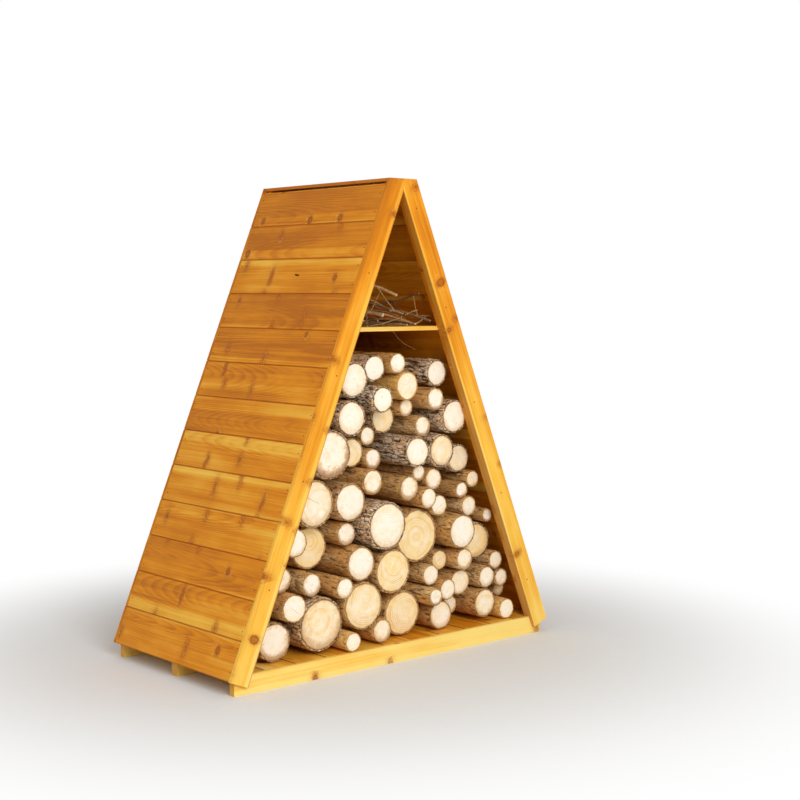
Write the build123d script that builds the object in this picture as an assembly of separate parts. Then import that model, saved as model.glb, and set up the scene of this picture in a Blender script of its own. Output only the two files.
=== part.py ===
from build123d import *
import math
import os

# A triangular log store of tongue-and-groove boards, filled with firewood.
# X runs to the right, Y to the back, Z up. The origin is at the middle of the foot.
# All sizes are in millimetres.

# Overall size
height = 1410.0
foot_width = 1220.0
flat_top_width = 100.0
depth = 616.0
foot_height = 43.6

# Tongue-and-groove boards
board_thickness = 12.0
board_cover = 112.0
tongue_length = 5.0
tongue_thickness = 4.0
groove_clearance = 0.3
joint_gap = 0.5
vee_chamfer = 2.0
ridge_gap = 20.7

# Frames of the two ends
trim_width = 60.0
trim_thickness = 12.0
rafter_thickness = 20.0
cap_thickness = 9.0

# Base
bearer_height = 54.0
bearer_thickness = 21.0
middle_bearer_thickness = 27.0
bearer_end_gap = 0.8
floor_thickness = 12.0
floor_board_count = 11
floor_gap = 6.0
rebate_width = 10.0
rebate_clearance = 0.3

# Shelf
shelf_top = 984.0
shelf_thickness = 12.0
shelf_end_gap = 1.6
shelf_board_count = 5
shelf_gap = 5.0
cleat_height = 25.0
cleat_thickness = 20.0

# Firewood
log_gap = 0.4
log_back_gap = 3.0
stack_headroom = 20.0
bark_thickness = 3.0
layer_count = 4
level_spacing = 30.0
# The sizes below are in hundredths of this length
log_reference_length = 100.0
log_length_steps = (0, -22, 14, -10, 24)
# Logs at each level from the floor up: place across, diameter under the bark, set-back of the end
log_levels = (
    ((-175, 52, 16), (-45, 70, 42), (465, 60, 36)),
    ((-420, 110, 64), (60, 136, 74), (205, 86, 60), (282, 58, 104), (385, 88, 56)),
    ((-270, 156, 46), (500, 48, 104)),
    ((-118, 140, 40), (160, 50, 20), (220, 62, 46), (295, 80, 74), (470, 54, 58)),
    ((-370, 80, 30), (390, 66, 50)),
    ((-192, 60, 20), (165, 60, 60), (444, 56, 62)),
    ((-292, 66, 60), (-6, 132, 40), (216, 60, 82), (282, 64, 42)),
    ((-404, 72, 60), (-130, 100, 34), (370, 118, 84)),
    (),
    ((-265, 122, 108), (120, 160, 74), (270, 104, 30)),
    ((-352, 80, 34), (-156, 64, 70), (-36, 144, 22), (400, 40, 60)),
    (),
    ((130, 60, 36), (204, 62, 62), (335, 60, 60)),
    ((-284, 136, 50), (-150, 110, 58)),
    ((66, 72, 52), (165, 64, 66), (275, 48, 60), (330, 50, 60)),
    ((-66, 72, 56), (112, 48, 68)),
    ((304, 88, 84),),
    ((-32, 58, 100), (204, 102, 54)),
    ((-242, 142, 34), (-128, 84, 108), (80, 94, 34)),
    ((-58, 52, 106),),
    ((133, 62, 64),),
    ((15, 88, 106), (236, 102, 34)),
    ((-138, 104, 46), (90, 50, 82)),
    ((-52, 78, 30), (155, 64, 42)),
    ((60, 82, 48),),
    ((-145, 104, 48), (184, 82, 60)),
    ((-50, 78, 68), (28, 58, 50)),
)

# Sizes that follow from the ones above
front_y = -depth / 2
trim_back_y = front_y + trim_thickness
frame_back_y = trim_back_y + rafter_thickness
back_face_y = depth / 2
back_wall_y = back_face_y - board_thickness
rear_frame_y = back_wall_y - rafter_thickness
half_top = flat_top_width / 2
tilt = math.atan2(foot_width / 2 - half_top, height - foot_height)
slope_length = (height - foot_height) / math.cos(tilt)
board_count = round((slope_length - ridge_gap) / board_cover)
top_board_cover = slope_length - ridge_gap - board_cover * (board_count - 1)
most_setback = log_reference_length * max(log[2] for row in log_levels for log in row) / 100
longest_log = rear_frame_y - front_y - most_setback - log_back_gap
log_length = longest_log - log_reference_length * max(log_length_steps) / 100


def outer_x(z):
    """Half width of the sloping outline at a height."""
    return half_top + (height - z) * math.tan(tilt)


def inset_x(z, inset):
    """Half width at a height, inside a face that lies parallel to the slope."""
    return outer_x(z) - inset / math.cos(tilt)


def prism(points, y_start, y_end):
    """Solid from an outline in the XZ plane, drawn out along Y."""
    outline = Polyline([(x, y_start, z) for x, z in points], close=True)
    return extrude(make_face(outline), amount=y_end - y_start, dir=(0, 1, 0))


def slope_point(side, down, out):
    """Point on a slope: distance down from the top corner, distance outwards."""
    x = half_top + down * math.sin(tilt) + out * math.cos(tilt)
    z = height - down * math.cos(tilt) + out * math.sin(tilt)
    return side * x, z


def board_span(number):
    """A board's cover, and its distance from the top of the slope, counted from the ridge."""
    if number == 0:
        return top_board_cover, ridge_gap
    return board_cover, ridge_gap + top_board_cover + board_cover * (number - 1)


bearer_half_length = inset_x(bearer_height, board_thickness) - bearer_end_gap
shelf_half_width = inset_x(shelf_top, board_thickness) - shelf_end_gap


def board_profile(cover, with_tongue=True):
    """Section of a board: distance from its upper edge, distance from its face."""
    middle = -board_thickness / 2
    half_tongue = tongue_thickness / 2
    half_groove = half_tongue + groove_clearance
    groove_depth = tongue_length + groove_clearance
    lower = cover - joint_gap
    points = [(vee_chamfer, 0.0), (lower - vee_chamfer, 0.0), (lower, -vee_chamfer)]
    points += [(lower, middle + half_groove), (lower - groove_depth, middle + half_groove)]
    points += [(lower - groove_depth, middle - half_groove), (lower, middle - half_groove)]
    points += [(lower, -board_thickness), (0.0, -board_thickness)]
    if with_tongue:
        points += [(0.0, middle - half_tongue), (-tongue_length, middle - half_tongue)]
        points += [(-tongue_length, middle + half_tongue), (0.0, middle + half_tongue)]
    points += [(0.0, -vee_chamfer)]
    return points


def slope_board(side, number):
    """One board of a slope, counted from the ridge."""
    cover, start = board_span(number)
    points = [slope_point(side, start + down, out) for down, out in board_profile(cover)]
    return prism(points, trim_back_y, back_wall_y)


def leg_outline(outer_inset, inner_inset, top, overlap):
    """Outline of a leg of the right side, from the flat top to a square foot."""
    top_outer = (inset_x(top, outer_inset), top)
    top_inner = (inset_x(top, inner_inset), top)
    foot_outer = slope_point(1, slope_length, -outer_inset)
    foot_inner = slope_point(1, slope_length, -inner_inset)
    if overlap:
        return [top_inner, top_outer, foot_outer, foot_inner]
    crossing = (0.0, top_inner[1] + top_inner[0] / math.tan(tilt))
    meeting = (-top_inner[0], top)
    return [crossing, meeting, top_outer, foot_outer, foot_inner]


def leg(side, outer_inset, inner_inset, top, y_start, y_end, foot_z=None):
    """A leg of an end frame: the right one runs to the top, the left one butts against it."""
    points = leg_outline(outer_inset, inner_inset, top, overlap=side > 0)
    solid = prism([(side * x, z) for x, z in points], y_start, y_end)
    if foot_z is not None:
        keep = Pos(0, (y_start + y_end) / 2, (foot_z + height) / 2)
        solid = solid & (keep * Box(foot_width * 2, depth * 2, height - foot_z))
    return solid


def bearer(y_start, y_end, rebate_side):
    """A bearer of the base, with a rebate along its inner top edge for the floor."""
    length = bearer_half_length * 2
    block = Pos(0, (y_start + y_end) / 2, bearer_height / 2) * Box(length, y_end - y_start, bearer_height)
    edge_y = y_end if rebate_side > 0 else y_start
    notch_z = bearer_height - floor_thickness / 2
    notch = Pos(0, edge_y - rebate_side * rebate_width / 2, notch_z)
    return block - notch * Box(length, rebate_width, floor_thickness)


def middle_bearer():
    """The bearer under the middle of the floor."""
    rise = bearer_height - floor_thickness
    return Pos(0, 0, rise / 2) * Box(bearer_half_length * 2, middle_bearer_thickness, rise)


def floor():
    """Floor boards from front to back, their ends in the rebates of the bearers."""
    width = (bearer_half_length * 2 - floor_gap * (floor_board_count - 1)) / floor_board_count
    end = back_wall_y - bearer_thickness + rebate_width - rebate_clearance
    start = trim_back_y + bearer_thickness - rebate_width + rebate_clearance
    boards = []
    for number in range(floor_board_count):
        x = -bearer_half_length + width / 2 + number * (width + floor_gap)
        place = Pos(x, (start + end) / 2, bearer_height - floor_thickness / 2)
        boards.append(place * Box(width, end - start, floor_thickness))
    return Compound(children=boards)


def shelf():
    """Shelf boards from side to side, between the two end frames."""
    clear = rear_frame_y - frame_back_y
    width = (clear - shelf_gap * (shelf_board_count - 1)) / shelf_board_count
    boards = []
    for number in range(shelf_board_count):
        y = frame_back_y + width / 2 + number * (width + shelf_gap)
        place = Pos(0, y, shelf_top - shelf_thickness / 2)
        boards.append(place * Box(shelf_half_width * 2, width, shelf_thickness))
    return Compound(children=boards)


def cleat(side):
    """A cleat under one end of the shelf, fixed to the boards of the slope."""
    top = shelf_top - shelf_thickness
    bottom = top - cleat_height
    wide = cleat_thickness / math.cos(tilt)
    points = [(inset_x(top, board_thickness), top), (inset_x(bottom, board_thickness), bottom)]
    points += [(points[1][0] - wide, bottom), (points[0][0] - wide, top)]
    return prism([(side * x, z) for x, z in points], frame_back_y, rear_frame_y)


def ridge_cap():
    """The strip that closes the top between the two slopes."""
    place = Pos(0, (trim_back_y + back_wall_y) / 2, height - cap_thickness / 2)
    return place * Box(flat_top_width, back_wall_y - trim_back_y, cap_thickness)


def back_wall():
    """Level boards on the back frame, their joints in line with those of the slopes."""
    reach = foot_width / 2 + board_thickness
    outline = prism([slope_point(side, along, 0) for side, along in
                     ((-1, 0), (1, 0), (1, slope_length), (-1, slope_length))], back_wall_y, back_face_y)
    boards = []
    for number in range(board_count):
        cover, start = board_span(number)
        top = height - start * math.cos(tilt)
        profile = board_profile(cover * math.cos(tilt), number > 0)
        points = [(back_face_y + out, top - down) for down, out in profile]
        section = Polyline([(-reach, y, z) for y, z in points], close=True)
        board = extrude(make_face(section), amount=reach * 2, dir=(1, 0, 0))
        if number == 0:
            rise = height - top + vee_chamfer
            block = Pos(0, back_face_y - board_thickness / 2, height - rise / 2)
            board = board + block * Box(reach * 2, board_thickness, rise)
        boards.append(board & outline)
    return Compound(children=boards)


def meet_circles(first, second):
    """Points at two given distances from two centres."""
    (x1, z1, r1), (x2, z2, r2) = first, second
    apart = math.hypot(x2 - x1, z2 - z1)
    if apart > r1 + r2 or apart < abs(r1 - r2) or apart == 0:
        return []
    along = (r1 * r1 - r2 * r2 + apart * apart) / (2 * apart)
    across = math.sqrt(max(r1 * r1 - along * along, 0.0))
    ux, uz = (x2 - x1) / apart, (z2 - z1) / apart
    mid_x, mid_z = x1 + along * ux, z1 + along * uz
    return [(mid_x - across * uz, mid_z + across * ux), (mid_x + across * uz, mid_z - across * ux)]


def meet_line(circle, line):
    """Points of a line, given by a point and a direction, at a distance from a centre."""
    x, z, radius = circle
    (px, pz), (dx, dz) = line
    along = (x - px) * dx + (z - pz) * dz
    near_x, near_z = px + along * dx, pz + along * dz
    off = math.hypot(x - near_x, z - near_z)
    if off > radius:
        return []
    half = math.sqrt(radius * radius - off * off)
    return [(near_x + half * dx, near_z + half * dz), (near_x - half * dx, near_z - half * dz)]


def resting_places(logs, radius, wanted, inset):
    """Free places round the wanted one, where a log of this radius lies against what is below."""
    low = bearer_height + radius + log_gap
    edge = inset + radius + log_gap
    reach = inset_x(low, edge)
    lines = [((side * reach, low), (-side * math.sin(tilt), math.cos(tilt))) for side in (-1, 1)]
    lines.append(((0.0, low), (1.0, 0.0)))
    circles = [(x, z, r + radius + log_gap) for x, z, r in logs]
    places = [(wanted[0], low)]
    for number, circle in enumerate(circles):
        x, z, apart = circle
        away = math.dist(wanted, (x, z))
        if wanted[1] > z:
            places.append((x + (wanted[0] - x) * apart / away, z + (wanted[1] - z) * apart / away))
        for line in lines:
            places += meet_line(circle, line)
        for other in circles[:number]:
            if abs(other[0] - x) < other[2] + apart:
                places += meet_circles(circle, other)
    slack = 0.001
    free = []
    for x, z in places:
        inside = z > low - slack and abs(x) < inset_x(z, edge) + slack
        if inside and all(math.hypot(x - cx, z - cz) > apart - slack for cx, cz, apart in circles):
            free.append((x, z))
    return free


def stack():
    """Centre, radius and set-back of each log, from the floor up."""
    most_z = shelf_top - shelf_thickness - cleat_height - stack_headroom
    logs = []
    setbacks = []
    for level, row in enumerate(log_levels):
        level_z = bearer_height + level_spacing * (level + 1)
        for across, diameter, setback in row:
            wanted = (log_reference_length * across / 100, level_z)
            radius = log_reference_length * diameter / 200 + bark_thickness
            setback = log_reference_length * setback / 100
            inset = trim_width if setback < frame_back_y - front_y else board_thickness
            places = resting_places(logs, radius, wanted, inset)
            free = [spot for spot in places if spot[1] + radius < most_z]
            if free:
                x, z = min(free, key=lambda spot: math.dist(spot, wanted))
                logs.append((x, z, radius))
                setbacks.append(setback)
    return [(*log, setback) for log, setback in zip(logs, setbacks)]


def firewood_log(number, x, z, radius, setback):
    """One log, lying from front to back."""
    length = log_length + log_reference_length * log_length_steps[number % len(log_length_steps)] / 100
    return Pos(x, front_y + setback + length / 2, z) * Rot(90, 0, 0) * Cylinder(radius, length)


def firewood(logs, low, high):
    """The logs whose centres lie between two heights."""
    chosen = [firewood_log(number, *log) for number, log in enumerate(logs) if low <= log[1] < high]
    return Compound(children=chosen)


nodes = {
    "front_bearer": bearer(trim_back_y, trim_back_y + bearer_thickness, 1),
    "middle_bearer": middle_bearer(),
    "rear_bearer": bearer(back_wall_y - bearer_thickness, back_wall_y, -1),
    "floor": floor(),
    "ridge_cap": ridge_cap(),
    "shelf": shelf(),
    "shelf_left_cleat": cleat(-1),
    "shelf_right_cleat": cleat(1),
    "back_wall": back_wall(),
}
rafter_top = height - cap_thickness
for side, word in ((-1, "left"), (1, "right")):
    nodes["front_" + word + "_trim"] = leg(side, 0.0, trim_width, height, front_y, trim_back_y)
    nodes["front_" + word + "_rafter"] = leg(
        side, board_thickness, trim_width, rafter_top, trim_back_y, frame_back_y, bearer_height)
    nodes["back_" + word + "_rafter"] = leg(
        side, board_thickness, trim_width, rafter_top, rear_frame_y, back_wall_y, bearer_height)
    for number in range(board_count):
        nodes[f"{word}_slope_board_{number + 1:02d}"] = slope_board(side, number)

logs = stack()
stack_top = max(z + radius for x, z, radius, setback in logs)
layer_height = (stack_top - bearer_height) / layer_count
for number in range(layer_count):
    low = bearer_height + layer_height * number
    nodes[f"firewood_layer_{number + 1}"] = firewood(logs, low, low + layer_height)

os.makedirs("parts", exist_ok=True)
for name, shape in nodes.items():
    export_step(shape, f"parts/{name}.step")
print(len(nodes), "nodes,", len(logs), "logs, stack top", round(stack_top, 1))
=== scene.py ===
"""Looks of a triangular log store: stained pine boards, firewood, nails and kindling."""
import math
import random

import bpy
from mathutils import Matrix, Vector, noise


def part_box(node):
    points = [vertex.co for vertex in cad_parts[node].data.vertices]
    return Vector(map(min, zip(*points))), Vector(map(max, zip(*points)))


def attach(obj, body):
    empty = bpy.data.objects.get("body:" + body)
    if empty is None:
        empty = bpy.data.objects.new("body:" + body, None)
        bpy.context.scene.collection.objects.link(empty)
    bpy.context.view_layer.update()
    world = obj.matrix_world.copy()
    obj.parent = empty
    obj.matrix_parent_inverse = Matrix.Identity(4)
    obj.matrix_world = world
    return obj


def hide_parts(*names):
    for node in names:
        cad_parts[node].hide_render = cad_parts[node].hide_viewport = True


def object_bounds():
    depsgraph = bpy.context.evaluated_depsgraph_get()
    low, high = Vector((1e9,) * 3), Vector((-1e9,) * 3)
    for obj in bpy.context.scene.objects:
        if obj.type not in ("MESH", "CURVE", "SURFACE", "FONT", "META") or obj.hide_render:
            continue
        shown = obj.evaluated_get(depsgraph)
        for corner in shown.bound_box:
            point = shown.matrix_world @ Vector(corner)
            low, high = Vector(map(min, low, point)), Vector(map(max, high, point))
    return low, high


bl_info = {
    "name": "Log store",
    "version": (1, 0, 0),
    "blender": (4, 5, 0),
    "location": "View3D > Sidebar > Log store",
    "description": "Finishes the boards, firewood, nails and kindling of a triangular log store",
    "category": "Object",
}

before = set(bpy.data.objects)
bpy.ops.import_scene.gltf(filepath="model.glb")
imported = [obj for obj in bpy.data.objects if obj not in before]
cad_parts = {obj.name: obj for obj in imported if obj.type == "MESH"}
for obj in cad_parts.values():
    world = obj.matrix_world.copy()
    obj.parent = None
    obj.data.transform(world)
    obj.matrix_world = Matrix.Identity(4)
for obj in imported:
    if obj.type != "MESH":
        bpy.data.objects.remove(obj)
cad_low, cad_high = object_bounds()

BODY = "root"
MM_IN_METRE = 1000

# Sizes of the frame, in metres, that the finishes follow
TOP = cad_high.z
FOOT_HALF_WIDTH = cad_high.x
BACK = cad_high.y
HALF_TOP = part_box("ridge_cap")[1].x
SHELF_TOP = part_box("shelf")[1].z
FOOT_HEIGHT = 0.0436
RIDGE_GAP = 0.0207
BOARD_COVER = 0.112
TRIM_WIDTH = 0.060
LEG_THICKNESS = 0.020
BEARER_HEIGHT = 0.054
BEARER_SPACING = 0.2
FLOOR_BOARDS, FLOOR_GAP, FLOOR_COVER = 11, 0.006, 0.108
SHELF_BOARDS, SHELF_GAP, SHELF_COVER = 5, 0.005, 0.110
STRIP_WIDTH = 0.10
TILT = math.atan2(FOOT_HALF_WIDTH - HALF_TOP, TOP - FOOT_HEIGHT)
SIN, COS = math.sin(TILT), math.cos(TILT)
SLOPE_LENGTH = (TOP - FOOT_HEIGHT) / COS

# Directions of the grain
ALONG_X, ALONG_Y, DOWN_SLOPE = (1.0, 0.0, 0.0), (0.0, 1.0, 0.0), (SIN, 0.0, -COS)

# Every board has a number, and so a grain, of its own. These are the numbers that each kind of
# board counts from, and half the step from its left side to its right
SLOPE_SIDES = 31.0
BACK_START = 70.0
FLOOR_START = 110.0
SHELF_START = 150.0
LEG_START, LEG_SIDES = 190.0, 11.0
BEARER_START = 230.0
STRIP_START, STRIP_SIDES = 260.0, 3.0

# Distances in metres from an edge or a nail: where its mark starts, and where it is full
STAIN_AND_SHADE_REACH = (0.0042, 0.0008)
NAIL_EDGE = (0.0020, 0.0013)
NAIL_HOLLOW = (0.0022, 0.0012)

# The sockets of a Mix node for colours, whose names are also those of its number sockets
MIX_FACTOR, MIX_FIRST, MIX_SECOND, MIX_RESULT = 0, 6, 7, 2


class Value:
    """The output of a shader node. Arithmetic on it adds Math nodes."""

    def __init__(self, finish, socket):
        self.finish = finish
        self.socket = socket

    def __add__(self, other):
        return self.finish.maths("ADD", self, other)

    def __sub__(self, other):
        return self.finish.maths("SUBTRACT", self, other)

    def __mul__(self, other):
        return self.finish.maths("MULTIPLY", self, other)

    def __truediv__(self, other):
        return self.finish.maths("DIVIDE", self, other)

    def __pow__(self, other):
        return self.finish.maths("POWER", self, other)

    def __rsub__(self, other):
        return self.finish.maths("SUBTRACT", other, self)

    def __rtruediv__(self, other):
        return self.finish.maths("DIVIDE", other, self)

    def __abs__(self):
        return self.finish.maths("ABSOLUTE", self)

    __radd__ = __add__
    __rmul__ = __mul__

    def function(self, operation, *others):
        """Any other Math operation on this value."""
        return self.finish.maths(operation, self, *others)

    def rise(self, low, high):
        """0 below low, 1 above high, smooth between them. Falls where high is the smaller."""
        inputs = {"Value": self, "From Min": low, "From Max": high}
        settings = {"interpolation_type": "SMOOTHSTEP"}
        return self.finish.add("ShaderNodeMapRange", settings, inputs)

    def clamp(self):
        """The value, kept between 0 and 1."""
        return self.finish.add("ShaderNodeClamp", None, {"Value": self})

    def sibling(self, name):
        """Another output of the same node."""
        return Value(self.finish, self.socket.node.outputs[name])


class Finish:
    """The nodes of one material, or of the world."""

    def __init__(self, name, world=False):
        self.home = (bpy.data.worlds if world else bpy.data.materials).new(name)
        self.output = "ShaderNodeOutputWorld" if world else "ShaderNodeOutputMaterial"
        self.home.use_nodes = True
        self.nodes = self.home.node_tree.nodes
        self.links = self.home.node_tree.links
        self.nodes.clear()

    def add(self, kind, settings=None, inputs=None, output=0):
        """Adds a node: its settings first, then the values or links of its sockets."""
        node = self.nodes.new(kind)
        for name, value in (settings or {}).items():
            if name == "stops":
                self.set_stops(node.color_ramp, value)
            else:
                setattr(node, name, value)
        for name, value in (inputs or {}).items():
            if isinstance(value, Value):
                self.links.new(value.socket, node.inputs[name])
            else:
                node.inputs[name].default_value = value
        return Value(self, node.outputs[output]) if node.outputs else None

    def set_stops(self, ramp, stops):
        """Gives a colour ramp its places and colours."""
        while len(ramp.elements) < len(stops):
            ramp.elements.new(1.0)
        for element, (place, colour) in zip(ramp.elements, stops):
            element.position = place
            element.color = (*colour, 1.0)

    def maths(self, operation, *values):
        """A Math node on values and numbers."""
        return self.add("ShaderNodeMath", {"operation": operation}, dict(enumerate(values)))

    def place(self):
        """The place on the object, in metres."""
        return self.add("ShaderNodeTexCoord", None, None, "Object")

    def split(self, vector):
        """The three parts of a vector or colour."""
        first = self.add("ShaderNodeSeparateXYZ", None, {"Vector": vector}, "X")
        return first, first.sibling("Y"), first.sibling("Z")

    def join(self, x, y, z):
        """A vector of three parts."""
        return self.add("ShaderNodeCombineXYZ", None, {"X": x, "Y": y, "Z": z})

    def grain(self, parts, detail=2.0, roughness=0.5):
        """Smooth noise between 0 and 1, from the three parts of a place."""
        inputs = {"Vector": self.join(*parts), "Scale": 1.0, "Detail": detail, "Roughness": roughness}
        return self.add("ShaderNodeTexNoise", {"noise_dimensions": "3D"}, inputs)

    def chance(self, number):
        """Three random numbers between 0 and 1 for each whole number."""
        settings = {"noise_dimensions": "1D"}
        return self.split(self.add("ShaderNodeTexWhiteNoise", settings, {"W": number}, "Color"))

    def mix(self, factor, first, second):
        """The first colour where the factor is 0, and the second where it is 1."""
        first, second = (part if isinstance(part, Value) else (*part, 1.0) for part in (first, second))
        inputs = {MIX_FACTOR: factor, MIX_FIRST: first, MIX_SECOND: second}
        return self.add("ShaderNodeMix", {"data_type": "RGBA"}, inputs, MIX_RESULT)

    def ramp(self, value, stops):
        """A colour for each value, from stops of a place and a colour."""
        return self.add("ShaderNodeValToRGB", {"stops": stops}, {0: value})

    def read(self, name, output="Vector"):
        """A value kept on the mesh under a name."""
        settings = {"attribute_type": "GEOMETRY", "attribute_name": name}
        return self.add("ShaderNodeAttribute", settings, None, output)

    def relief(self, height, distance, strength=1.0):
        """A normal that follows a height given in shares of the distance."""
        inputs = {"Height": height, "Distance": distance, "Strength": strength}
        return self.add("ShaderNodeBump", None, inputs)

    def surface(self, base_colour, roughness, gloss, normal=None):
        """The shader of a plain surface. The gloss is its specular level."""
        inputs = {"Base Color": base_colour, "Roughness": roughness, "Specular IOR Level": gloss}
        if normal is not None:
            inputs["Normal"] = normal
        return self.add("ShaderNodeBsdfPrincipled", None, inputs)

    def backdrop(self, factor, shader, white):
        """White where the factor is 1, as seen straight, in gloss or through glass."""
        ray = self.add("ShaderNodeLightPath", None, None, "Is Camera Ray")
        seen = (ray + ray.sibling("Is Glossy Ray") + ray.sibling("Is Transmission Ray")).clamp()
        return self.add("ShaderNodeMixShader", None, {0: seen * factor, 1: shader, 2: white})

    def done(self, surface):
        """Links the surface to the output, and returns the material or the world."""
        self.add(self.output, None, {"Surface": surface})
        return self.home


def colour_setting(name, description, default):
    """A colour of the panel."""
    return bpy.props.FloatVectorProperty(
        name=name, description=description, default=default, subtype="COLOR", size=3, min=0.0, max=1.0)


def length_setting(name, description, default):
    """A length in metres."""
    return bpy.props.FloatProperty(
        name=name, description=description, default=default, min=0.0, unit="LENGTH", precision=4)


def share_setting(name, description, default):
    """A share from 0 to 1."""
    return bpy.props.FloatProperty(
        name=name, description=description, default=default, min=0.0, max=1.0, subtype="FACTOR")


def power_setting(name, description, default):
    """A power in watts."""
    return bpy.props.FloatProperty(
        name=name, description=description, default=default, min=0.0, unit="POWER")


class TimberSettings(bpy.types.PropertyGroup):
    """Colours and grain of the stained pine."""
    straw: colour_setting("Straw", "Fresh wood that took little stain", (0.96, 0.71, 0.20))
    pale: colour_setting("Pale", "Palest bands of the stained wood", (0.93, 0.52, 0.062))
    warm: colour_setting("Warm", "Common colour of the stained wood", (0.76, 0.264, 0.007))
    deep: colour_setting("Deep", "Late wood and stained hollows", (0.50, 0.146, 0.005))
    knot: colour_setting("Knot", "Heart of a knot", (0.44, 0.105, 0.006))
    knot_rim: colour_setting("Knot rim", "Dark edge of a knot", (0.14, 0.030, 0.003))
    ring_spacing: length_setting("Ring spacing", "Distance between two growth rings", 0.0036)
    knot_spacing: length_setting("Knot spacing", "Common distance between two knots along a board", 0.150)
    knot_radius: length_setting("Knot radius", "Radius of the largest knots", 0.0088)
    gloss: share_setting("Roughness", "Roughness of the stained surface", 0.48)


class FirewoodSettings(bpy.types.PropertyGroup):
    """Colours and sizes of the logs."""
    cream: colour_setting("Cream", "Fresh sawn end of a pale log", (0.97, 0.90, 0.77))
    honey: colour_setting("Honey", "Sawn end of a yellow log", (0.95, 0.69, 0.27))
    heart: colour_setting("Heart", "Rings and heart of a sawn end", (0.78, 0.44, 0.11))
    brown: colour_setting("Brown bark", "Smooth brown bark", (0.73, 0.385, 0.120))
    tan: colour_setting("Tan bark", "Worn patches of smooth bark", (0.95, 0.64, 0.275))
    grey: colour_setting("Grey bark", "Ridges of rough bark", (0.90, 0.74, 0.56))
    golden: colour_setting("Golden bark", "Young bark of a few logs", (0.98, 0.56, 0.14))
    inner_bark: colour_setting("Inner bark", "Stained rim between wood and bark", (0.33, 0.165, 0.080))
    crevice: colour_setting("Crevice", "Grooves of the bark", (0.055, 0.027, 0.012))
    bark_thickness: length_setting("Bark thickness", "Thickness of the bark round the wood", 0.0050)
    ridge_depth: length_setting("Ridge depth", "Depth of the grooves in rough bark", 0.0046)
    ring_spacing: length_setting("Ring spacing", "Distance between two growth rings", 0.0050)
    segments: bpy.props.IntProperty(
        name="Segments", description="Points round each log", default=72, min=16, max=120)


class FixingSettings(bpy.types.PropertyGroup):
    """Sizes of the nails."""
    head_radius: length_setting("Head radius", "Radius of a nail head", 0.0018)
    head_height: length_setting("Head height", "How far a nail head stands out", 0.0004)
    edge_inset: length_setting("Edge inset", "Distance of the nails from the end of a board", 0.022)
    steel: colour_setting("Steel", "Dull nail heads", (0.085, 0.036, 0.012))


class KindlingSettings(bpy.types.PropertyGroup):
    """Number, sizes and colours of the twigs on the shelf."""
    count: bpy.props.IntProperty(
        name="Twigs", description="Number of twigs in the heap", default=128, min=1, max=160)
    thin: length_setting("Thin", "Radius of the thinnest twig", 0.0009)
    thick: length_setting("Thick", "Radius of the thickest twig", 0.0036)
    short: length_setting("Short", "Length of the shortest twig", 0.11)
    long: length_setting("Long", "Length of the longest twig", 0.30)
    grey: colour_setting("Grey", "Bark of the darkest twigs", (0.075, 0.043, 0.026))
    tan: colour_setting("Tan", "Bark of the palest twigs", (0.47, 0.255, 0.100))
    speck: colour_setting("Specks", "Dark specks in the bark", (0.030, 0.016, 0.009))
    broken: colour_setting("Broken end", "Bare wood of the broken ends", (0.92, 0.74, 0.50))


class StageSettings(bpy.types.PropertyGroup):
    """Floor, lights and camera."""
    floor_radius: length_setting("Floor radius", "Radius of the pale floor", 9.0)
    floor_tone: share_setting("Floor tone", "Brightness of the floor", 0.84)
    sky: bpy.props.FloatProperty(
        name="Sky", description="Strength of the light from all sides", default=0.50, min=0.0)
    key: power_setting("Key light", "Power of the large front light", 150.0)
    side: power_setting("Side light", "Power of the large light on the left", 18.0)
    focal_length: bpy.props.FloatProperty(
        name="Focal length", description="Focal length of the camera in mm", default=66.24, min=1.0)
    camera_place: bpy.props.FloatVectorProperty(
        name="Camera place", description="Where the camera stands", default=(-2.8036, -3.5149, 1.0850),
        size=3, subtype="TRANSLATION", unit="LENGTH")
    camera_turn: bpy.props.FloatVectorProperty(
        name="Camera turn", description="Turn to the right, tilt down and roll",
        default=(0.716004, 0.073268, 0.000681), size=3, subtype="EULER", unit="ROTATION")


GROUPS = {
    "log_store_timber": TimberSettings,
    "log_store_firewood": FirewoodSettings,
    "log_store_fixings": FixingSettings,
    "log_store_kindling": KindlingSettings,
    "log_store_stage": StageSettings,
}


def slope_place(x, z):
    """Distance down the slope and out of it, for either side."""
    from_top = TOP - z
    from_middle = abs(x) - HALF_TOP
    down = from_top * COS + from_middle * SIN
    out = from_middle * COS - from_top * SIN
    return down, out


# Each layout takes a place on the store, and gives how far it is along the grain, across the
# board and into it, and the number of the board


def slope_layout(x, y, z):
    """Slope boards: they run from front to back, one below the other."""
    down, out = slope_place(x, z)
    board = ((down - RIDGE_GAP) / BOARD_COVER).function("FLOOR")
    across = down - RIDGE_GAP - board * BOARD_COVER
    return y, across, out, board + x.function("SIGN") * SLOPE_SIDES


def back_layout(x, y, z):
    """Back wall boards: they run from side to side."""
    cover = BOARD_COVER * COS
    down = TOP - z - RIDGE_GAP * COS
    board = (down / cover).function("FLOOR")
    return x, down - board * cover, y, board + BACK_START


def floor_layout(x, y, z):
    """Floor boards: they run from front to back."""
    low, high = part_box("floor")
    pitch = (high.x - low.x + FLOOR_GAP) / FLOOR_BOARDS
    board = ((x - low.x) / pitch).function("FLOOR")
    return y, x - low.x - board * pitch, z, board + FLOOR_START


def shelf_layout(x, y, z):
    """Shelf boards: they run from side to side."""
    low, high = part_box("shelf")
    pitch = (high.y - low.y + SHELF_GAP) / SHELF_BOARDS
    board = ((y - low.y) / pitch).function("FLOOR")
    return x, y - low.y - board * pitch, z, board + SHELF_START


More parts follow.
